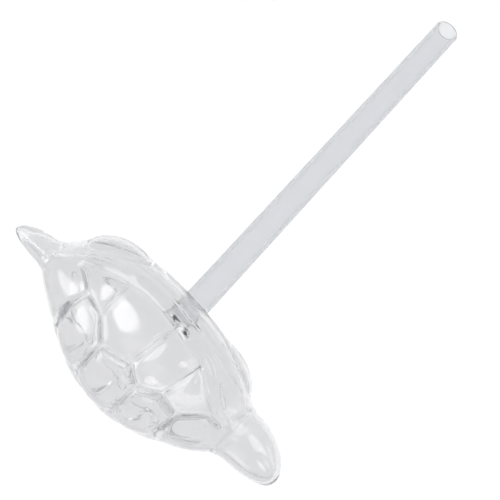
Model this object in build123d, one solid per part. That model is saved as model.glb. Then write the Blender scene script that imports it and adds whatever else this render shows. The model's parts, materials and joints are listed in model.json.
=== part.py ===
from build123d import *
import math
import os

# Clear glass plant-watering bulb in the shape of a turtle, in millimetres.
# A long open tube, the stem, is pushed into the soil of a flower pot. The hollow
# turtle on top of it holds the water, which runs down the stem as the soil dries.
# +Z is up, +X points to the turtle's head and +Y to its left. The origin is the
# centre of the stem's open mouth, at the bottom.

# ---- stem ----
STEM_D = 11.0
STEM_WALL = 1.3
STEM_R = STEM_D / 2
BORE_R = STEM_R - STEM_WALL
MOUTH_ROUNDING = 0.6
EQUATOR_Z = 208.0            # height of the plane where the upper and lower shell meet

# ---- shell ----
WALL = 1.6
TAIL_X = -50.5               # where the tail is drawn out of the shell
NECK_X = 41.0                # where the head lobe starts
BELLY_DEPTH = 20.5           # from the equator down to where the stem joins
BEYOND = 300.0               # longer than the whole turtle

# Cross-sections of the shell: x, half width at the equator, rise of the dome
# above the equator, depth of the belly below it.
SHELL_SECTIONS = [
    (TAIL_X, 5.3, 2.8, 8.0),
    (-45.5, 14.5, 6.0, 14.0),
    (-37.0, 25.5, 12.0, 19.0),
    (-22.0, 36.0, 20.2, 22.0),
    (-2.0, 40.0, 25.2, BELLY_DEPTH),
    (16.0, 38.0, 22.6, 17.0),
    (28.0, 30.0, 18.0, 14.0),
    (36.0, 20.0, 14.0, 12.0),
    (NECK_X, 10.3, 10.3, 10.3),
]

# Foot bulges under the shell's rim, one pair behind and one pair in front:
# centre x, centre y, centre height above the equator, half length along the
# shell's edge, half thickness, half height, and the turn about Z in degrees.
FEET = [
    (-31.0, 19.5, -10.0, 13.5, 7.5, 7.5, 36.0),
    (25.0, 20.0, -6.5, 13.0, 6.5, 6.5, -42.0),
]

# ---- head and tail: lobes that run out along X with a rising centre line ----
HEAD_TIP_X = 64.0
HEAD_RISE = 3.5
HEAD_FULLNESS = 2.1
HEAD_TIP_WALL = 3.0
TAIL_TIP_X = -66.2
TAIL_RISE = -0.6
TAIL_FULLNESS = 1.35
TAIL_TIP_WALL = 4.5
LOBE_STATIONS = 6

# ---- fused collar between stem and belly: it flares outside and stands up inside ----
WELD_R = 8.5
WELD_HEIGHT = 4.5
SOCKET_R = 6.2
SOCKET_INSIDE = 2.0          # how far it stands up above the belly's inner face
SOCKET_ROOT = 1.0            # how far it reaches down into the flare
FLARE_AT_STEM = (0.25, 1)    # the flare's direction where it leaves the stem
FLARE_AT_BELLY = (1, 0.35)   # and where it meets the belly

# A quarter of an ellipse is one cubic curve with its handles this far along.
ROUND = 4 / 3 * (math.sqrt(2) - 1)


def section_plane_point(x, y, z):
    """A point given by its height above the equator."""
    return Vector(x, y, EQUATOR_Z + z)


def arch(x, half_width, height, rise=0):
    """Half an ellipse on the plane x in two quarters, upward or, with a negative height, downward."""
    turn = math.copysign(1, height)

    def point(across, up):
        return section_plane_point(x, turn * half_width * across, rise + height * up)

    left_quarter = Bezier(point(1, 0), point(1, ROUND), point(ROUND, 1), point(0, 1))
    right_quarter = Bezier(point(0, 1), point(-ROUND, 1), point(-1, ROUND), point(-1, 0))
    return [left_quarter, right_quarter]


def half_section(x, half_width, height):
    """The area between an arch and the equator."""
    quarters = arch(x, half_width, height)
    return make_face(Curve() + [*quarters, Line(quarters[1] @ 1, quarters[0] @ 0)])


def full_section(x, half_width, height, depth, rise):
    """The area between an arch upward and an arch downward."""
    upward = arch(x, half_width, height, rise)
    downward = arch(x, half_width, -depth, rise)
    return make_face(Curve() + [*upward, *downward])


def thinned(sections, column):
    """The inner size of each section: the outer one less the wall, measured square to the surface."""
    sizes = []
    last = len(sections) - 1
    for i, section in enumerate(sections):
        slant = 1.0
        if 0 < i < last:
            before = sections[i - 1]
            after = sections[i + 1]
            slope = (after[column] - before[column]) / (after[0] - before[0])
            slant = math.hypot(1, slope)
        sizes.append(section[column] - WALL * slant)
    return sizes


def half_shell(column, direction):
    """Outer and inner solids of the upper (direction 1) or lower (direction -1) half."""
    outer = loft([
        half_section(s[0], s[1], direction * s[column]) for s in SHELL_SECTIONS
    ])
    widths = thinned(SHELL_SECTIONS, 1)
    heights = thinned(SHELL_SECTIONS, column)
    inner = loft([
        half_section(s[0], width, direction * height)
        for s, width, height in zip(SHELL_SECTIONS, widths, heights)
    ])
    return outer, inner


def foot(spec, side, shrink):
    """One foot bulge as an ellipsoid, made smaller all round by shrink."""
    x, y, z, half_length, half_thickness, half_height, turn = spec
    ball = scale(
        Sphere(1),
        by=(half_length - shrink, half_thickness - shrink, half_height - shrink),
    )
    return Pos(x, side * y, EQUATOR_Z + z) * Rot(0, 0, side * turn) * ball


def lobe(root, tip_x, rise, fullness):
    """A round-nosed lobe from a section of the shell out to tip_x, rising towards the tip."""
    root_x, half_width, height, depth = root
    length = tip_x - root_x
    sections = []
    for i in range(LOBE_STATIONS):
        q = math.sin(math.pi / 2 * i / LOBE_STATIONS)
        share = (1 - abs(q) ** fullness) ** (1 / fullness)
        sections.append(full_section(
            root_x + length * q, half_width * share, height * share, depth * share, rise * q * q
        ))
    tip = section_plane_point(tip_x, 0, rise)
    sections.append(Vertex(*tip))
    return loft(sections)


def hollow_lobe(root, tip_x, rise, fullness, tip_wall):
    """A lobe with its cavity open at the shell."""
    root_x = root[0]
    inner_root = (root_x, *[size - WALL for size in root[1:]])
    inner_tip = tip_x - math.copysign(tip_wall, tip_x - root_x)
    kept_rise = rise * ((inner_tip - root_x) / (tip_x - root_x)) ** 2
    outer = lobe(root, tip_x, rise, fullness)
    return outer - lobe(inner_root, inner_tip, kept_rise, fullness)


def carapace():
    """The upper half of the shell."""
    outer, inner = half_shell(2, 1)
    return outer - inner


def belly_outer():
    """The lower half of the shell with its foot bulges, before it is hollowed."""
    outer, inner = half_shell(3, -1)
    below = Pos(0, 0, EQUATOR_Z) * Box(
        BEYOND, BEYOND, BEYOND, align=(Align.CENTER, Align.CENTER, Align.MAX)
    )
    for spec in FEET:
        for side in (-1, 1):
            outer = outer + (foot(spec, side, 0) & below)
            inner = inner + (foot(spec, side, WALL) & below)
    return outer, inner


def stem(top_z):
    """The open tube, its mouth fire-polished round."""
    tube = extrude(Circle(STEM_R) - Circle(BORE_R), top_z)
    mouth = tube.edges().group_by(Axis.Z)[0]
    return fillet(mouth, MOUTH_ROUNDING)


def weld(belly, belly_z):
    """The collar of fused glass: it carries the tube's bore through the belly."""
    low = belly_z - WELD_HEIGHT
    high = belly_z + WALL
    top = high + SOCKET_INSIDE
    flare = Spline(
        (STEM_R, low), (WELD_R, belly_z),
        tangents=[FLARE_AT_STEM, FLARE_AT_BELLY],
    )
    sides = Polyline((WELD_R, belly_z), (WELD_R, high), (0, high), (0, low), (STEM_R, low))
    profile = Plane.XZ * make_face(Curve() + [flare, sides])
    outside = revolve(profile, Axis.Z) - belly
    base = (Align.CENTER, Align.CENTER, Align.MIN)
    root = belly_z - SOCKET_ROOT
    socket = Pos(0, 0, root) * Cylinder(SOCKET_R, top - root, align=base)
    bore = Pos(0, 0, low) * Cylinder(BORE_R, top - low, align=base)
    return outside + socket - bore


def build():
    """All the pieces by name."""
    belly_solid, belly_hollow = belly_outer()
    belly_z = EQUATOR_Z - BELLY_DEPTH
    stem_hole = Pos(0, 0, belly_z) * Cylinder(SOCKET_R, 2 * BELLY_DEPTH)
    return {
        "carapace": carapace(),
        "plastron": belly_solid - belly_hollow - stem_hole,
        "head": hollow_lobe(
            SHELL_SECTIONS[-1], HEAD_TIP_X, HEAD_RISE, HEAD_FULLNESS, HEAD_TIP_WALL
        ),
        "tail": hollow_lobe(
            SHELL_SECTIONS[0], TAIL_TIP_X, TAIL_RISE, TAIL_FULLNESS, TAIL_TIP_WALL
        ),
        "stem": stem(belly_z - WELD_HEIGHT),
        "stem_weld": weld(belly_solid, belly_z),
    }


os.makedirs("parts", exist_ok=True)
for name, shape in build().items():
    export_step(shape, f"parts/{name}.step")
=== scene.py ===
import json
import math

import bpy
import numpy as np
from mathutils import Matrix, Vector


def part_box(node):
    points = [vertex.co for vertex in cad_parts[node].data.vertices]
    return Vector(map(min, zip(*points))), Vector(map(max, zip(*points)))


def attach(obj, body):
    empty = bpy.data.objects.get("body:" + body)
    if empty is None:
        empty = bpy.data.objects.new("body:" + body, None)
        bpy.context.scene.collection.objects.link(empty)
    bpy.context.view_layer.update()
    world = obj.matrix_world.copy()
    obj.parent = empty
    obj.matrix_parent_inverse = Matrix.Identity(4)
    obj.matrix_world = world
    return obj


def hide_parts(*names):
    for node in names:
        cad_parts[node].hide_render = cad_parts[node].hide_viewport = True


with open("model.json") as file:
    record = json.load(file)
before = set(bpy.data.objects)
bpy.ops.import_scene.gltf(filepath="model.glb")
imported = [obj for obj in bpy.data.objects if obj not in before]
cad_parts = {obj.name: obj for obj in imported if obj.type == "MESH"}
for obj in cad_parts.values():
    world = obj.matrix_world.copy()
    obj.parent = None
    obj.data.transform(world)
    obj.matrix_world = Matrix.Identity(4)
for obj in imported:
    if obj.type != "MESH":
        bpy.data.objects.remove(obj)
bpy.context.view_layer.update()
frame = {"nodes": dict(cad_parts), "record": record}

# Clear glass plant-watering bulb: a hollow turtle on a long open tube. Lengths are
# in metres, and the origin is the middle of the tube's open mouth. Everything is one
# skin of glass, cut into pieces where the CAD nodes meet.

MM = 0.001

# ---- places and sizes taken from the frame ----
UPPER_LOW, UPPER_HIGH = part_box("carapace")
STEM_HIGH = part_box("stem")[1]
EQUATOR = UPPER_LOW.z           # the height of the shell's widest line
TAIL_X = UPPER_LOW.x
NECK_X = UPPER_HIGH.x
TAIL_TIP_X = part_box("tail")[0].x
HEAD_TIP_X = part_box("head")[1].x
WELD_START = STEM_HIGH.z
STEM_R = STEM_HIGH.x
WELD_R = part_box("stem_weld")[1].x
SHELL_LENGTH = NECK_X - TAIL_X
MOUNTS = {mount["name"]: mount for mount in frame["record"]["mounts"]}
BORE_R = MOUNTS["stem_bore"]["dims"]["r_mm"] * MM

# ---- glass thickness ----
WALL = 1.6 * MM
HEAD_TIP_WALL = 2.2 * MM
TAIL_TIP_WALL = 4.5 * MM

# ---- how finely the skin is divided ----
TAIL_STEPS = 48
SHELL_STEPS = 300
HEAD_STEPS = 64
UPPER_STEPS = 240
LOWER_STEPS = 160
COARSE = 2                      # the inner skin takes every second line of the outer one
SOFTENED_STEPS = 14             # how far the creases at the tail's root and neck are softened

TINY = 1e-15                    # keeps a division by a length away from zero
STEEP_POWER = 30                # beyond this power of e, a soft bend has run out

# ---- foot bulges, one pair behind and one in front: where an egg-shaped swelling's
# middle is (height from the shell's widest line), its half sizes and its turn ----
FEET = [
    ((-31 * MM, 19.5 * MM, -10 * MM), (13.5 * MM, 7.5 * MM, 7.5 * MM), math.radians(36)),
    ((25 * MM, 20 * MM, -6.5 * MM), (13 * MM, 6.5 * MM, 6.5 * MM), math.radians(-42)),
]


# ======================= curves along the body =======================

def smooth_curve(xs, ys):
    """A natural cubic spline through the points, as a function."""
    xs = np.asarray(xs, float)
    ys = np.asarray(ys, float)
    n = len(xs)
    gap = np.diff(xs)
    system = np.eye(n)
    right = np.zeros(n)
    for i in range(1, n - 1):
        system[i, i - 1] = gap[i - 1]
        system[i, i] = 2 * (gap[i - 1] + gap[i])
        system[i, i + 1] = gap[i]
        right[i] = 6 * ((ys[i + 1] - ys[i]) / gap[i] - (ys[i] - ys[i - 1]) / gap[i - 1])
    curving = np.linalg.solve(system, right)

    def value(x):
        i = np.clip(np.searchsorted(xs, x) - 1, 0, n - 2)
        left = x - xs[i]
        rest = xs[i + 1] - x
        cubic = (curving[i] * rest ** 3 + curving[i + 1] * left ** 3) / (6 * gap[i])
        from_left = (ys[i] / gap[i] - curving[i] * gap[i] / 6) * rest
        from_right = (ys[i + 1] / gap[i] - curving[i + 1] * gap[i] / 6) * left
        return cubic + from_left + from_right

    return value


def node_points(name):
    """All the vertices of a CAD node."""
    mesh = frame["nodes"][name].data
    points = np.empty(len(mesh.vertices) * 3)
    mesh.vertices.foreach_get("co", points)
    return points.reshape(-1, 3)


def outer_line(name, size):
    """A CAD node's outermost line seen along the body, as x values and sizes: the
    upper hull of its vertices."""
    points = node_points(name)
    sizes = size(points)
    hull = []
    for i in np.lexsort((sizes, points[:, 0])):
        point = (points[i, 0], sizes[i])
        while len(hull) > 1 and turns_up(hull[-2], hull[-1], point):
            hull.pop()
        hull.append(point)
    line = np.array(hull)
    return line[:, 0], line[:, 1]


def turns_up(a, b, c):
    """True if b lies on or below the line from a to c."""
    return (b[0] - a[0]) * (c[1] - a[1]) - (b[1] - a[1]) * (c[0] - a[0]) >= 0


# Where along the shell its cross-section is measured on the CAD nodes.
SECTION_SHARES = (0, 0.055, 0.148, 0.311, 0.53, 0.727, 0.858, 0.945, 1)


def shell_curve(name, size):
    """A smooth curve of the shell's size against x, measured on a CAD node."""
    stations = TAIL_X + SHELL_LENGTH * np.array(SECTION_SHARES)
    xs, sizes = outer_line(name, size)
    return smooth_curve(stations, np.interp(stations, xs, sizes))


half_width = shell_curve("carapace", lambda points: points[:, 1])
rise = shell_curve("carapace", lambda points: points[:, 2] - EQUATOR)
depth = shell_curve("plastron", lambda points: EQUATOR - points[:, 2])


# ======================= the skin of glass =======================

HEAD_RISE = 3.5 * MM            # how far a lobe's tip lies above the shell's widest line
TAIL_RISE = -0.6 * MM
HEAD_FULLNESS = 2.1             # 1 would make a lobe a cone and 2 an ellipsoid
TAIL_FULLNESS = 1.9
STEEPEST = 2.2                  # limits how much a slanted wall is thickened across the body


def lobe_profile(root_x, tip_x, lift, fullness, wall, tip_wall, steps):
    """Section sizes of a lobe from its root to its tip: x, half width, rise, depth and lift."""
    end = tip_x - math.copysign(tip_wall, tip_x - root_x) if wall else tip_x
    reach = (end - root_x) / (tip_x - root_x)
    q = np.sin(np.linspace(0, np.pi / 2, steps + 1))
    share = np.maximum(0, 1 - q ** fullness) ** (1 / fullness)
    sizes = [curve(root_x) - wall for curve in (half_width, rise, depth)]
    return np.stack([
        root_x + (end - root_x) * q,
        sizes[0] * share,
        sizes[1] * share,
        sizes[2] * share,
        lift * (reach * q) ** 2,
    ], axis=1)


def shell_profile(wall):
    """Section sizes along the shell from the tail to the neck."""
    x = np.linspace(TAIL_X, NECK_X, SHELL_STEPS + 1)
    columns = [x]
    for curve in (half_width, rise, depth):
        size = curve(x)
        slant = np.hypot(1, np.gradient(size, x))
        slant[0] = slant[-1] = 1
        columns.append(size - wall * np.minimum(slant, STEEPEST))
    columns.append(np.zeros_like(x))
    return np.stack(columns, axis=1)


def softened(profile):
    """The profile with the creases at the tail's root and the neck rounded off."""
    result = profile.copy()
    for joint in (TAIL_STEPS, TAIL_STEPS + SHELL_STEPS):
        for i in range(joint - SOFTENED_STEPS, joint + SOFTENED_STEPS + 1):
            span = max(1, SOFTENED_STEPS - abs(i - joint)) // 2 + 1
            result[i] = profile[i - span:i + span + 1].mean(axis=0)
    return result


def body_profile(wall):
    """Section sizes from the tail's tip to the head's tip."""
    tail = lobe_profile(
        TAIL_X, TAIL_TIP_X, TAIL_RISE, TAIL_FULLNESS, wall, TAIL_TIP_WALL, TAIL_STEPS
    )
    head = lobe_profile(
        NECK_X, HEAD_TIP_X, HEAD_RISE, HEAD_FULLNESS, wall, HEAD_TIP_WALL, HEAD_STEPS
    )
    whole = np.concatenate([tail[:0:-1], shell_profile(wall), head[1:]])
    return softened(whole)


ANGLES = np.concatenate([
    np.linspace(0, np.pi, UPPER_STEPS, endpoint=False),
    np.linspace(np.pi, 2 * np.pi, LOWER_STEPS, endpoint=False),
])


def rings(profile):
    """The skin's points: one ring of angles for each section."""
    x, width, up, down, lift = [profile[:, i, None] for i in range(5)]
    sine = np.sin(ANGLES)[None, :]
    height = np.where(sine > 0, up, down) * sine
    return np.stack([
        np.broadcast_to(x, height.shape),
        width * np.cos(ANGLES)[None, :],
        EQUATOR + lift + height,
    ], axis=2)


def grid_normals(grid):
    """Unit normals of a grid of rings, pointing away from the rings' middles."""
    along = np.gradient(grid, axis=0)
    around = np.roll(grid, -1, axis=1) - np.roll(grid, 1, axis=1)
    normal = np.cross(around, along)
    length = np.linalg.norm(normal, axis=2, keepdims=True)
    return normal / np.maximum(length, TINY)


def smooth_step(value):
    """0 below 0, 1 above 1 and an S between."""
    t = np.clip(value, 0, 1)
    return t * t * (3 - 2 * t)


# ======================= relief of the shell =======================

# Grooves between the scutes: x in mm and angle in degrees up from the shell's widest
# line on that side. The first runs beside the spine, the next four between the
# vertebrals, and the last three between the costals. The glass was pressed a little
# askew, so the two sides differ.
LEFT_GROOVES = [
    [(-39, 20), (-31, 43), (-22.7, 44), (-15, 61), (-2.8, 52),
     (4, 63), (12.5, 56), (21.5, 65), (31, 46), (36, 44)],
    [(-31, 43), (-33, 66), (-33, 90)],
    [(-15, 61), (-15.5, 90)],
    [(4, 63), (3.5, 90)],
    [(21.5, 65), (20.5, 90)],
    [(-22.7, 44), (-22, 4)],
    [(-2.8, 52), (0.5, 9)],
    [(12.5, 56), (16.5, 19)],
]
RIGHT_GROOVES = [
    [(-39, 44), (-32, 64), (-26, 54), (-15.5, 70), (-7, 55),
     (3.5, 70), (11, 56), (20.5, 68), (31, 48), (36, 44)],
    [(-32, 64), (-33, 90)],
    [(-15.5, 70), (-15.5, 90)],
    [(3.5, 70), (3.5, 90)],
    [(20.5, 68), (20.5, 90)],
    [(-26, 54), (-25, 4)],
    [(-7, 55), (-4, 8)],
    [(11, 56), (15, 18)],
]
# The groove along the lower edge of the costals, and the shell's rim below it.
MARGIN = [(-39, 8), (-28, 4), (-17, 3), (-7, 6), (0, 10), (7, 14), (16.5, 20), (31, 40)]
RIM = [
    (-48, 0), (-37, -3), (-27.5, -6), (-17, -8), (-7.4, -5), (0, 0),
    (7, 2), (19, 10), (31, 30),
]

# Which side (1 is left), its grooves and how deeply the press went in there.
PRESSED = [
    (1, LEFT_GROOVES, 1.0),
    (-1, RIGHT_GROOVES, 0.65),
    (1, [MARGIN], 0.55),
    (-1, [MARGIN], 0.4),
]
LINE_STEPS = 12                 # points on each stretch of a groove
GROOVE_FLOOR = 0.4 * MM         # half width of a groove's rounded bottom
GROOVE_SIDE = 1.05 * MM         # how soon a scute rises from a groove to its full height
PILLOW_HEIGHT = 1.75 * MM       # a scute's height over its grooves
PILLOW_CROWN = 0.9 * MM         # the further rise towards its middle
PILLOW_REACH = 7 * MM           # how far in from its edge that rise goes
RIM_HEIGHT = 0.6 * MM           # the ridge round the shell's rim
RIM_WIDTH = 2.0 * MM
RIM_DIP = 12 * MM               # how far the hollow on each side of the ridge reaches
RIM_STEP = 2.6 * MM             # the band in which the dome's relief starts
RIM_FADE = 10 * MM              # how near the shell's ends the ridge dies away
FLANK_INSET = 0.2 * MM
FADE = 7 * MM                   # how near the shell's ends the relief dies away
FOOT_BLEND = 1.1 * MM           # the soft edge of a foot bulge
FOOT_TOP = 2.0 * MM             # feet stay below this height over the widest line
FOOT_FADE = 5.0 * MM            # and fade in over this depth


def surface_line(line, side):
    """A list of (x mm, degrees) as close points in space on one side of the smooth shell."""
    line = np.array(line, float)
    steps = np.linspace(0, len(line) - 1, LINE_STEPS * (len(line) - 1) + 1)
    x = np.interp(steps, np.arange(len(line)), line[:, 0]) * MM
    angle = np.radians(np.interp(steps, np.arange(len(line)), line[:, 1]))
    up = np.where(angle > 0, rise(x), depth(x))
    return np.stack([
        x, side * half_width(x) * np.cos(angle), EQUATOR + up * np.sin(angle)
    ], axis=1)


def distance_to(points, line):
    """How far each point is from a line of close points."""
    best = np.full(len(points), np.inf)
    for start, end in zip(line[:-1], line[1:]):
        run = end - start
        share = np.clip((points - start) @ run / (run @ run), 0, 1)
        gap = points - start - share[:, None] * run
        best = np.minimum(best, np.einsum("ij,ij->i", gap, gap))
    return np.sqrt(best)


def above_rim(points):
    """0 on the flank and belly, 1 on the dome above the shell's rim."""
    rim = np.array(RIM, float)
    x = points[:, 0]
    angle = np.radians(np.interp(x / MM, rim[:, 0], rim[:, 1]))
    up = np.where(angle > 0, rise(x), depth(x))
    return smooth_step((points[:, 2] - EQUATOR - up * np.sin(angle)) / RIM_STEP + 0.5)


def soft_limit(value, blend):
    """The value where it is above 0 and 0 where it is below, with a soft bend between."""
    power = np.clip(value / blend, -STEEP_POWER, STEEP_POWER)
    return blend * np.log1p(np.exp(power))


def foot_bulges(points, normals, wall):
    """How far out along its normal each point of the shell must move to cover the feet."""
    total = np.zeros(len(points))
    for (x, y, z), full_sizes, turn in FEET:
        sizes = np.array(full_sizes) - wall
        for side in (-1, 1):
            cos, sin = math.cos(side * turn), math.sin(side * turn)
            axes = np.array([(cos, sin, 0), (-sin, cos, 0), (0, 0, 1)]).T / sizes
            start = (points - (x, side * y, EQUATOR + z)) @ axes
            way = normals @ axes
            a = np.einsum("ij,ij->i", way, way)
            b = np.einsum("ij,ij->i", start, way)
            c = np.einsum("ij,ij->i", start, start) - 1
            reached = b * b - a * c
            far = (np.sign(reached) * np.sqrt(np.abs(reached)) - b) / a
            low = smooth_step((EQUATOR + FOOT_TOP - points[:, 2]) / FOOT_FADE)
            total += low * soft_limit(far, FOOT_BLEND)
    return total


def scutes(points, softness):
    """Depth of the dome's grooves below the tops of its pillow-shaped scutes."""
    pillows = np.ones(len(points))
    crowns = np.ones(len(points))
    floor = GROOVE_FLOOR * softness
    for side, grooves, share in PRESSED:
        for groove in grooves:
            gap = distance_to(points, surface_line(groove, side))
            cut = np.exp(-(np.hypot(gap, floor) - floor) / (GROOVE_SIDE * softness))
            pillows *= 1 - share * cut
            crowns *= 1 - share * np.exp(-(gap / PILLOW_REACH) ** 2)
    return PILLOW_HEIGHT * (1 - pillows) + PILLOW_CROWN * (1 - crowns)


def relief(points, softness):
    """Displacement of the shell's points along their normals. Softness widens the grooves."""
    dome = above_rim(points)
    height = (dome - 1) * FLANK_INSET
    high = dome > 0
    height[high] -= dome[high] * scutes(points[high], softness)
    rim_gap = np.minimum(
        distance_to(points, surface_line(RIM, 1)),
        distance_to(points, surface_line(RIM, -1)),
    )
    rim = np.exp(-(rim_gap / (RIM_WIDTH * softness)) ** 2) - np.exp(-(rim_gap / RIM_DIP) ** 2)
    return height + RIM_HEIGHT * rim * smooth_step(from_ends(points) / RIM_FADE - 0.5)


def from_ends(points):
    """How far each point is from the nearer end of the shell."""
    return np.minimum(points[:, 0] - TAIL_X, NECK_X - points[:, 0])


WAVES = 9
SLOWEST_WAVE = 90               # radians in a metre
FASTEST_WAVE = 260


def wobble(points, size, seed):
    """The slow unevenness of hand-blown glass: a sum of a few waves."""
    draw = np.random.default_rng(seed)
    total = np.zeros(len(points))
    for _ in range(WAVES):
        wave = draw.normal(size=3)
        wave *= draw.uniform(SLOWEST_WAVE, FASTEST_WAVE) / np.linalg.norm(wave)
        total += np.sin(points @ wave + draw.uniform(0, 2 * np.pi))
    return total * size / WAVES


def skin(wall, softness, share, unevenness, seed, every=1):
    """A grid of the body's points and its normals, with a share of the relief on it. It
    lies a wall's thickness inside the CAD surface and takes every so many-th line."""
    grid = rings(body_profile(wall))[::every, ::every]
    normals = grid_normals(grid)
    first, last = TAIL_STEPS // every, (TAIL_STEPS + SHELL_STEPS) // every
    flat = grid[first:last + 1].reshape(-1, 3)
    away = normals[first:last + 1].reshape(-1, 3)
    height = share * relief(flat, softness) + foot_bulges(flat, away, wall)
    height *= smooth_step(from_ends(flat) / FADE)
    moved = flat + away * height[:, None]
    grid[first:last + 1] = moved.reshape(grid[first:last + 1].shape)
    flat = grid.reshape(-1, 3)
    flat = flat - normals.reshape(-1, 3) * (unevenness + wobble(flat, unevenness, seed))[:, None]
    grid = flat.reshape(grid.shape)
    return grid, grid_normals(grid)


# ======================= pieces =======================

JOINT_GAP = 0.02 * MM           # between a joint's two faces, so that light crosses them in turn
STRAY_SHARE = 1.02              # puts points left inside a round hole just outside its edge


class Glass:
    """All the points of the skin and their normals, numbered as they are added."""

    def __init__(self):
        self.points = []
        self.normals = []
        self.count = 0

    def add_grid(self, grid, normals):
        """Adds points and returns their numbers in the grid's own shape."""
        numbers = np.arange(grid.shape[0] * grid.shape[1]).reshape(grid.shape[:2])
        self.points.append(grid.reshape(-1, 3))
        self.normals.append(normals.reshape(-1, 3))
        numbers = numbers + self.count
        self.count += numbers.size
        return numbers


def closed(row):
    """A ring's numbers with the first one again at the end."""
    return np.append(row, row[0])


def wrapped(numbers):
    """A grid with its first column again at the end."""
    return np.concatenate([numbers, numbers[:, :1]], axis=1)


def quads(numbers, wrap, inward=False, cut=None):
    """The faces between the rows of a grid of point numbers, but for those cut away."""
    if wrap:
        numbers = wrapped(numbers)
    faces = []
    cells = np.stack([
        numbers[:-1, :-1], numbers[:-1, 1:], numbers[1:, 1:], numbers[1:, :-1]
    ], axis=2)
    if cut is not None:
        cells = cells[~cut]
    for face in cells.reshape(-1, 4).tolist():
        corners = tuple(dict.fromkeys(face))
        if len(corners) > 2:
            faces.append(corners[::-1] if inward else corners)
    return faces


def strip(fine, coarse, flip):
    """Faces between a fine line and a line with every COARSE-th of its points."""
    faces = []
    for i in range(len(coarse) - 1):
        face = (*fine[COARSE * i:COARSE * (i + 1) + 1], coarse[i + 1], coarse[i])
        faces.append(face[::-1] if flip else face)
    return faces


def round_hole(numbers, points, radius):
    """Cuts a round hole about the stem's axis and moves the points at its edge onto the
    circle. Returns which cells are cut away and the edge's points in order of angle."""
    reach = np.hypot(points[numbers][..., 0], points[numbers][..., 1])
    inside = (reach < radius) & (points[numbers][..., 2] < EQUATOR)
    cut = inside[:-1, :-1] & inside[:-1, 1:] & inside[1:, 1:] & inside[1:, :-1]
    by_cut = np.zeros_like(inside)
    by_kept = np.zeros_like(inside)
    for down in (0, 1):
        for across in (0, 1):
            part = np.s_[down:down + cut.shape[0], across:across + cut.shape[1]]
            by_cut[part] |= cut
            by_kept[part] |= ~cut
    edge = numbers[by_cut & by_kept]
    stray = numbers[inside & ~by_cut]
    for ids, size in ((edge, radius), (stray, radius * STRAY_SHARE)):
        points[ids, :2] *= size / np.hypot(points[ids, 0], points[ids, 1])[:, None]
    angles = np.arctan2(points[edge, 1], points[edge, 0])
    return cut, edge[np.argsort(angles)]


def bridge(outer, inner, points, flip):
    """Triangles between two loops about the stem's axis, each in order of angle."""
    faces = []
    loops = []
    for ids in (outer, inner):
        angles = np.arctan2(points[ids, 1], points[ids, 0])
        loops.append((list(ids) + [ids[0]], list(angles) + [angles[0] + 2 * np.pi]))
    (a, at), (b, bt) = loops
    i = j = 0
    while i < len(a) - 1 or j < len(b) - 1:
        next_a = at[i + 1] if i < len(a) - 1 else np.inf
        next_b = bt[j + 1] if j < len(b) - 1 else np.inf
        if next_a <= next_b:
            face = (a[i], a[i + 1], b[j])
            i += 1
        else:
            face = (a[i], b[j + 1], b[j])
            j += 1
        faces.append(face[::-1] if flip else face)
    return faces


def lathe(profile, angles):
    """A grid of points turned about the stem's axis from (radius, height) pairs."""
    profile = np.array(profile, float)
    radius = profile[:, 0, None]
    height = np.broadcast_to(profile[:, 1, None], (len(profile), len(angles)))
    return np.stack([radius * np.cos(angles), radius * np.sin(angles), height], axis=2)


def bend(start, corner, end, steps):
    """Points of a smooth bend in (radius, height) from start to end, pulled towards corner."""
    t = np.linspace(0, 1, steps)[:, None]
    start, corner, end = np.array(start), np.array(corner), np.array(end)
    return ((1 - t) ** 2 * start + 2 * t * (1 - t) * corner + t ** 2 * end).tolist()


def flare(radius, start, edge, steps):
    """Points that run up from a circle about the stem's axis and bend out to a hole's edge."""
    angles = np.arctan2(edge[:, 1], edge[:, 0])
    t = np.linspace(0, 1, steps)[:, None]
    out = radius + (np.hypot(edge[:, 0], edge[:, 1]) - radius) * t ** 2
    height = start + (edge[:, 2] - start) * (1 - (1 - t) ** 2)
    return np.stack([out * np.cos(angles), out * np.sin(angles), height], axis=2)


def joint_shift(joint_faces, points):
    """Moves that take a joint's points a hair's breadth back from the next piece."""
    shift = np.zeros_like(points)
    for face in joint_faces:
        a, b, c = points[list(face[:2]) + [face[-1]]]
        away = np.cross(b - a, c - a)
        shift[list(face)] -= away / max(np.linalg.norm(away), TINY)
    length = np.linalg.norm(shift, axis=1, keepdims=True)
    return shift * JOINT_GAP / np.maximum(length, TINY)


def make_piece(name, node, faces, joint_faces, points, normals, glass):
    """A mesh object of some of the skin's faces. The joint faces touch the next piece."""
    ids = np.unique(np.concatenate([np.array(face) for face in faces + joint_faces]))
    place = np.full(len(points), -1)
    place[ids] = np.arange(len(ids))
    points = points + joint_shift(joint_faces, points)
    mesh = bpy.data.meshes.new(name)
    local = [tuple(place[list(face)].tolist()) for face in faces + joint_faces]
    mesh.from_pydata(points[ids].tolist(), [], local)
    mesh.materials.append(glass)
    surface = mesh.attributes.new("glass_surface", "FLOAT", "FACE")
    surface.data.foreach_set("value", [1.0] * len(faces) + [0.0] * len(joint_faces))
    mesh.polygons.foreach_set("use_smooth", [True] * len(local))
    mesh.normals_split_custom_set_from_vertices(normals[ids].tolist())
    mesh.update()
    piece = bpy.data.objects.new(name, mesh)
    bpy.context.scene.collection.objects.link(piece)
    piece.visible_shadow = False
    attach(piece, "root")
    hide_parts(node)
    return piece


# ======================= materials =======================

def new_material(name):
    """An empty node material with its output."""
    material = bpy.data.materials.new(name)
    material.use_nodes = True
    tree = material.node_tree
    tree.nodes.clear()
    return material, tree, tree.nodes.new("ShaderNodeOutputMaterial")


GLASS_IOR = 1.5
GLASS_SHADE = (0.10, 0.13, 0.18, 1)   # thick glass absorbs its density times 1 less this
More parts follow.
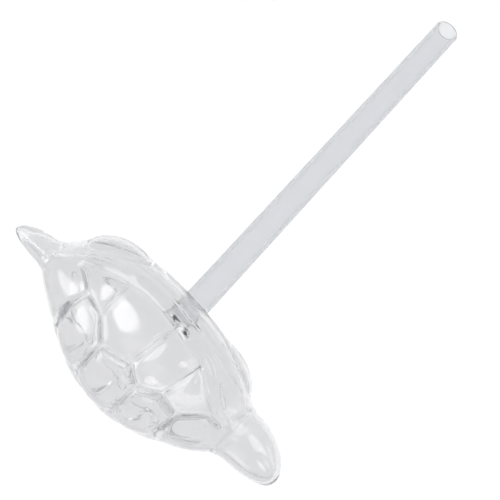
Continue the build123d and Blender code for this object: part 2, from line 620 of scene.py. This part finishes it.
# Each wall takes about one tint from the light. The shell's grey is nearly all in the
# tint, so its edges stay pale. The tube's is mostly in its depth, so its edges, where the
# light's way through is longer, are as dark as its middle.
SHELL_TINT = (0.832, 0.833, 0.838, 1)
TUBE_TINT = (0.975, 0.976, 0.985, 1)
WELD_TINT = (0.98, 0.98, 0.985, 1)
SHELL_DENSITY = 4.5                   # in a metre of glass
TUBE_DENSITY = 140.0
WELD_DENSITY = 12.0

# The waves in a skin: how high they are, how many there are in a metre (about), and how
# their pattern is stretched. The tube's run along it, as it was drawn.
SHELL_WAVES = (0.05 * MM, 70, (1, 1, 1))
TUBE_WAVES = (0.0015 * MM, 160, (1, 1, 0.03))
WELD_WAVES = (0.02 * MM, 220, (1, 1, 1))
FINE_WAVES = 6                        # fine ripples to a slow wave
FINE_SHARE = 0.12                     # how much of the height is in the fine ripples
HAZE_START = 0.45                     # the ripples' heights between which haze appears
HAZE_END = 0.85
MOST_HAZE = 0.06                      # roughness there


def add_absorption(tree, output, density):
    """The faint blue-grey of thick glass."""
    volume = tree.nodes.new("ShaderNodeVolumeAbsorption")
    volume.inputs["Color"].default_value = GLASS_SHADE
    volume.inputs["Density"].default_value = density
    tree.links.new(volume.outputs[0], output.inputs["Volume"])


def add_noise(tree, mapping, scale, detail):
    """A noise pattern in the object's own space."""
    noise = tree.nodes.new("ShaderNodeTexNoise")
    noise.inputs["Scale"].default_value = scale
    noise.inputs["Detail"].default_value = detail
    tree.links.new(mapping.outputs["Vector"], noise.inputs["Vector"])
    return noise


def add_waves(tree, shader, height, waves, stretch):
    """Slow waves and fine ripples in the surface. Returns the ripples' noise."""
    place = tree.nodes.new("ShaderNodeTexCoord")
    mapping = tree.nodes.new("ShaderNodeMapping")
    mapping.inputs["Scale"].default_value = stretch
    tree.links.new(place.outputs["Object"], mapping.inputs["Vector"])
    slow = add_noise(tree, mapping, waves, 1.0)
    fine = add_noise(tree, mapping, waves * FINE_WAVES, 3.0)
    both = tree.nodes.new("ShaderNodeMix")
    both.inputs["Factor"].default_value = FINE_SHARE
    tree.links.new(slow.outputs["Fac"], both.inputs["A"])
    tree.links.new(fine.outputs["Fac"], both.inputs["B"])
    bump = tree.nodes.new("ShaderNodeBump")
    bump.inputs["Strength"].default_value = 1.0
    bump.inputs["Distance"].default_value = height
    tree.links.new(both.outputs["Result"], bump.inputs["Height"])
    tree.links.new(bump.outputs["Normal"], shader.inputs["Normal"])
    return fine


def add_haze(tree, shader, fine):
    """A trace of roughness on the highest ripples."""
    haze = tree.nodes.new("ShaderNodeMapRange")
    haze.inputs["From Min"].default_value = HAZE_START
    haze.inputs["From Max"].default_value = HAZE_END
    haze.inputs["To Min"].default_value = 0.0
    haze.inputs["To Max"].default_value = MOST_HAZE
    tree.links.new(fine.outputs["Fac"], haze.inputs["Value"])
    tree.links.new(haze.outputs["Result"], shader.inputs["Roughness"])


def glass_material(name, tint, density, surface_waves):
    """Clear glass: slow waves in its surface, fine ripples over them and a trace of haze."""
    material, tree, output = new_material(name)
    shader = tree.nodes.new("ShaderNodeBsdfPrincipled")
    shader.inputs["Base Color"].default_value = tint
    shader.inputs["Transmission Weight"].default_value = 1.0
    shader.inputs["IOR"].default_value = GLASS_IOR
    fine = add_waves(tree, shader, *surface_waves)
    add_haze(tree, shader, fine)
    # Where two pieces are melted together there is no surface to see.
    surface = tree.nodes.new("ShaderNodeAttribute")
    surface.attribute_name = "glass_surface"
    tree.links.new(surface.outputs["Fac"], shader.inputs["Alpha"])
    tree.links.new(shader.outputs[0], output.inputs["Surface"])
    add_absorption(tree, output, density)
    return material


shell_glass = glass_material("blown_glass", SHELL_TINT, SHELL_DENSITY, SHELL_WAVES)
tube_glass = glass_material("drawn_tube_glass", TUBE_TINT, TUBE_DENSITY, TUBE_WAVES)
weld_glass = glass_material("fused_glass", WELD_TINT, WELD_DENSITY, WELD_WAVES)


# ======================= building the glass =======================

glass = Glass()
outer_grid, outer_normals = skin(
    wall=0, softness=1, share=1, unevenness=0.04 * MM, seed=5
)
inner_grid, inner_normals = skin(
    wall=WALL, softness=1.5, share=0.6, unevenness=0.12 * MM, seed=8, every=COARSE
)
for normals in (outer_normals, inner_normals):
    normals[0] = (-1, 0, 0)
    normals[-1] = (1, 0, 0)
outer = glass.add_grid(outer_grid, outer_normals)
inner = glass.add_grid(inner_grid, -inner_normals)
for numbers in (outer, inner):
    numbers[0] = numbers[0, 0]
    numbers[-1] = numbers[-1, 0]

# The stem: down its bore, round the fire-polished mouth and up its outside.
TURN_STEPS = 96
LENGTH_STEPS = 40
BEND_STEPS = 8
MOUTH_ROUND = 0.6 * MM
bore_line = [(BORE_R, z) for z in np.linspace(WELD_START, MOUTH_ROUND, LENGTH_STEPS)]
inner_lip = bend(
    (BORE_R, MOUTH_ROUND), (BORE_R, 0), (BORE_R + MOUTH_ROUND, 0), BEND_STEPS
)
outer_lip = bend(
    (STEM_R - MOUTH_ROUND, 0), (STEM_R, 0), (STEM_R, MOUTH_ROUND), BEND_STEPS
)
side_line = [(STEM_R, z) for z in np.linspace(MOUTH_ROUND, WELD_START, LENGTH_STEPS)]
stem_turn = np.linspace(-np.pi, np.pi, TURN_STEPS, endpoint=False)
stem_grid = lathe(bore_line[:-1] + inner_lip + outer_lip + side_line[1:], stem_turn)
stem = glass.add_grid(stem_grid, grid_normals(stem_grid))

points = np.concatenate(glass.points)
normals = np.concatenate(glass.normals)

NECK = TAIL_STEPS + SHELL_STEPS
half_tail = TAIL_STEPS // COARSE
half_neck = NECK // COARSE
half_upper = UPPER_STEPS // COARSE
outer_ring = wrapped(outer)
inner_ring = wrapped(inner)
tail_ring = (closed(outer[TAIL_STEPS]), closed(inner[half_tail]))
neck_ring = (closed(outer[NECK]), closed(inner[half_neck]))

tail_faces = quads(outer[:TAIL_STEPS + 1], True) + quads(inner[:half_tail + 1], True, inward=True)
make_piece(
    "turtle_tail", "tail", tail_faces, strip(*tail_ring, False),
    points, normals, shell_glass,
)

head_faces = quads(outer[NECK:], True) + quads(inner[half_neck:], True, inward=True)
make_piece(
    "turtle_head", "head", head_faces, strip(*neck_ring, True),
    points, normals, shell_glass,
)

# The upper shell: columns from the left rim over the spine to the right rim.
shell_outer = outer_ring[TAIL_STEPS:NECK + 1]
shell_inner = inner_ring[half_tail:half_neck + 1]
upper_outer, upper_inner = shell_outer[:, :UPPER_STEPS + 1], shell_inner[:, :half_upper + 1]
upper_faces = quads(upper_outer, False) + quads(upper_inner, False, inward=True)
upper_joints = strip(upper_outer[:, 0], upper_inner[:, 0], False)
upper_joints += strip(upper_outer[:, -1], upper_inner[:, -1], True)
upper_joints += strip(upper_outer[0], upper_inner[0], True)
upper_joints += strip(upper_outer[-1], upper_inner[-1], False)
make_piece(
    "carapace_with_scutes", "carapace", upper_faces, upper_joints,
    points, normals, shell_glass,
)

# The lower shell, with a round hole where the stem is fused on.
lower_outer, lower_inner = shell_outer[:, UPPER_STEPS:], shell_inner[:, half_upper:]
SOCKET_R = 5.2 * MM
SOCKET_FOOT = 1.6 * MM          # how far the socket's foot flares out inside
outer_cut, outer_edge = round_hole(lower_outer, points, WELD_R)
inner_cut, inner_edge = round_hole(lower_inner, points, SOCKET_R + SOCKET_FOOT)
lower_faces = quads(lower_outer, False, cut=outer_cut)
lower_faces += quads(lower_inner, False, inward=True, cut=inner_cut)
lower_joints = strip(lower_outer[:, 0], lower_inner[:, 0], False)
lower_joints += strip(lower_outer[:, -1], lower_inner[:, -1], True)
lower_joints += strip(lower_outer[0], lower_inner[0], True)
lower_joints += strip(lower_outer[-1], lower_inner[-1], False)
lower_joints += bridge(outer_edge, inner_edge, points, True)
make_piece(
    "plastron_with_feet", "plastron", lower_faces, lower_joints,
    points, normals, shell_glass,
)

# The weld: outside it flares from the stem to the belly. Inside it stands up as a
# rounded socket and turns down into the bore.
FLARE_STEPS = 14
SOCKET_LIP = (BORE_R + SOCKET_R) / 2
SOCKET_TOP = points[inner_edge, 2].max() + 1.0 * MM
SOCKET_MIDDLE = SOCKET_TOP - 0.6 * MM
LIP_END = SOCKET_TOP - 0.8 * MM
flare_grid = flare(STEM_R, WELD_START, points[outer_edge], FLARE_STEPS)
foot_grid = flare(SOCKET_R, SOCKET_MIDDLE, points[inner_edge], BEND_STEPS)[::-1]
socket_line = bend(
    (SOCKET_R, SOCKET_MIDDLE), (SOCKET_R, SOCKET_TOP), (SOCKET_LIP, SOCKET_TOP), BEND_STEPS
)
socket_line += bend(
    (SOCKET_LIP, SOCKET_TOP), (BORE_R, SOCKET_TOP), (BORE_R, LIP_END), BEND_STEPS
)[1:]
socket_line += [(BORE_R, z) for z in np.linspace(LIP_END, WELD_START, BEND_STEPS)][1:]
socket_turn = np.arctan2(points[inner_edge, 1], points[inner_edge, 0])
socket_grid = np.concatenate([foot_grid, lathe(socket_line, socket_turn)[1:]])
collar = glass.add_grid(flare_grid[:-1], grid_normals(flare_grid)[:-1])
socket = glass.add_grid(socket_grid[1:], grid_normals(socket_grid)[1:])
collar = np.concatenate([collar, outer_edge[None, :]])
socket = np.concatenate([inner_edge[None, :], socket])
points = np.concatenate([points, *glass.points[-2:]])
normals = np.concatenate([normals, *glass.normals[-2:]])

weld_faces = quads(collar, True) + quads(socket, True)
weld_joints = bridge(outer_edge, inner_edge, points, False)
weld_joints += bridge(collar[0], socket[-1], points, True)
make_piece(
    "weld_collar", "stem_weld", weld_faces, weld_joints,
    points, normals, weld_glass,
)

make_piece(
    "stem_tube", "stem", quads(stem, True), quads(np.stack([stem[-1], stem[0]]), True),
    points, normals, tube_glass,
)


# ======================= stage, light and camera =======================

FLOOR_Z = -0.10
FLOOR_HALF = 4.0
FLOOR_GLOW = 0.04
PAPER_GRAIN = 900
PAPER_DARK = 0.67
PAPER_LIGHT = 0.70
PAPER_ROUGHNESS = 0.9
PAPER_SHINE = 0.1


def floor_material():
    """Matt white paper with a faint tooth."""
    material, tree, output = new_material("white_paper")
    shader = tree.nodes.new("ShaderNodeBsdfPrincipled")
    noise = tree.nodes.new("ShaderNodeTexNoise")
    noise.inputs["Scale"].default_value = PAPER_GRAIN
    ramp = tree.nodes.new("ShaderNodeMapRange")
    ramp.inputs["To Min"].default_value = PAPER_DARK
    ramp.inputs["To Max"].default_value = PAPER_LIGHT
    tree.links.new(noise.outputs["Fac"], ramp.inputs["Value"])
    tree.links.new(ramp.outputs["Result"], shader.inputs["Base Color"])
    shader.inputs["Roughness"].default_value = PAPER_ROUGHNESS
    shader.inputs["Specular IOR Level"].default_value = PAPER_SHINE
    shader.inputs["Emission Color"].default_value = (1, 1, 1, 1)
    shader.inputs["Emission Strength"].default_value = FLOOR_GLOW
    tree.links.new(shader.outputs[0], output.inputs["Surface"])
    return material


def make_floor():
    """A plain pale floor."""
    mesh = bpy.data.meshes.new("floor")
    signs = [(-1, -1), (1, -1), (1, 1), (-1, 1)]
    corners = [(x * FLOOR_HALF, y * FLOOR_HALF, FLOOR_Z) for x, y in signs]
    mesh.from_pydata(corners, [], [(0, 1, 2, 3)])
    mesh.materials.append(floor_material())
    floor = bpy.data.objects.new("floor", mesh)
    bpy.context.scene.collection.objects.link(floor)


WORLD_LOW = (0.80, 0.80, 0.81, 1)    # at the horizon
WORLD_HIGH = (0.90, 0.90, 0.91, 1)   # overhead
LOW_SINE = 0.03                      # the sines of the heights between which it changes
HIGH_SINE = 0.5

# Soft lights far off: direction (azimuth from +X and height, degrees), half width in
# degrees and brightness.
SOFT_LIGHTS = [
    (147, 46, 24, 3.4),
    (-140, 36, 13, 2.2),
    (42, 38, 9, 2.4),
    (-62, 66, 8, 1.6),
]


def make_world():
    """A soft pale surround, a little darker at the horizon, with soft bright patches."""
    world = bpy.data.worlds.new("studio")
    bpy.context.scene.world = world
    world.use_nodes = True
    tree = world.node_tree
    tree.nodes.clear()
    output = tree.nodes.new("ShaderNodeOutputWorld")
    background = tree.nodes.new("ShaderNodeBackground")
    place = tree.nodes.new("ShaderNodeTexCoord")
    split = tree.nodes.new("ShaderNodeSeparateXYZ")
    ramp = tree.nodes.new("ShaderNodeValToRGB")
    ramp.color_ramp.elements[0].position = LOW_SINE
    ramp.color_ramp.elements[0].color = WORLD_LOW
    ramp.color_ramp.elements[1].position = HIGH_SINE
    ramp.color_ramp.elements[1].color = WORLD_HIGH
    tree.links.new(place.outputs["Generated"], split.inputs[0])
    tree.links.new(split.outputs["Z"], ramp.inputs["Fac"])
    total = ramp.outputs["Color"]
    for azimuth, elevation, spread, brightness in SOFT_LIGHTS:
        total = add_soft_light(tree, place, total, azimuth, elevation, spread, brightness)
    tree.links.new(total, background.inputs["Color"])
    tree.links.new(background.outputs[0], output.inputs["Surface"])


LIGHT_FADE_START = 0.8          # where a soft light's edge starts and ends, in half widths
LIGHT_FADE_END = 1.2


def add_soft_light(tree, place, total, azimuth, elevation, spread, brightness):
    """Adds a round light with a soft edge to the surround's colour."""
    flat = math.cos(math.radians(elevation))
    towards = tree.nodes.new("ShaderNodeVectorMath")
    towards.operation = "DOT_PRODUCT"
    towards.inputs[1].default_value = (
        flat * math.cos(math.radians(azimuth)),
        flat * math.sin(math.radians(azimuth)),
        math.sin(math.radians(elevation)),
    )
    tree.links.new(place.outputs["Generated"], towards.inputs[0])
    glow = tree.nodes.new("ShaderNodeMapRange")
    glow.interpolation_type = "SMOOTHSTEP"
    glow.inputs["From Min"].default_value = math.cos(math.radians(spread * LIGHT_FADE_END))
    glow.inputs["From Max"].default_value = math.cos(math.radians(spread * LIGHT_FADE_START))
    glow.inputs["To Max"].default_value = brightness
    tree.links.new(towards.outputs["Value"], glow.inputs["Value"])
    both = tree.nodes.new("ShaderNodeVectorMath")
    both.operation = "ADD"
    tree.links.new(total, both.inputs[0])
    tree.links.new(glow.outputs["Result"], both.inputs[1])
    return both.outputs["Vector"]


SOFTBOX_SIZE = 0.9
SOFTBOX_POWER = 1.0
SOFTBOX_Z = 1.9


def top_light():
    """A weak wide softbox overhead."""
    light = bpy.data.lights.new("softbox", "AREA")
    light.shape = "SQUARE"
    light.size = SOFTBOX_SIZE
    light.energy = SOFTBOX_POWER
    lamp = bpy.data.objects.new("softbox", light)
    lamp.location = (0, 0, SOFTBOX_Z)
    bpy.context.scene.collection.objects.link(lamp)


make_floor()
make_world()
top_light()

VIEW_AZIMUTH = math.radians(180)
VIEW_ELEVATION = math.radians(30)
VIEW_ROLL = math.radians(222.5)
VIEW_DISTANCE = 0.512
VIEW_LENS = 96.5
AIM = Vector((1.15 * MM, 0, 148.3 * MM))
NEAREST_SEEN = 0.01
FARTHEST_SEEN = 50
MOST_TURNS = 64                 # light runs far along inside a glass wall before it comes out
MOST_STEPS = 96


def make_camera():
    """The camera, turned about its own axis as the picture is."""
    back = Vector((
        math.sin(VIEW_AZIMUTH) * math.cos(VIEW_ELEVATION),
        -math.cos(VIEW_AZIMUTH) * math.cos(VIEW_ELEVATION),
        math.sin(VIEW_ELEVATION),
    ))
    lens = bpy.data.cameras.new("camera")
    lens.lens = VIEW_LENS
    lens.clip_start = NEAREST_SEEN
    lens.clip_end = FARTHEST_SEEN
    camera = bpy.data.objects.new("camera", lens)
    upright = (-back).to_track_quat("-Z", "Y").to_matrix()
    turned = upright @ Matrix.Rotation(VIEW_ROLL, 3, "Z")
    camera.matrix_world = Matrix.Translation(AIM + back * VIEW_DISTANCE) @ turned.to_4x4()
    bpy.context.scene.collection.objects.link(camera)
    bpy.context.scene.camera = camera


make_camera()
scene = bpy.context.scene
scene.view_settings.view_transform = "Standard"
scene.cycles.max_bounces = MOST_STEPS
scene.cycles.transmission_bounces = MOST_TURNS
scene.cycles.glossy_bounces = MOST_TURNS
scene.cycles.transparent_max_bounces = MOST_TURNS
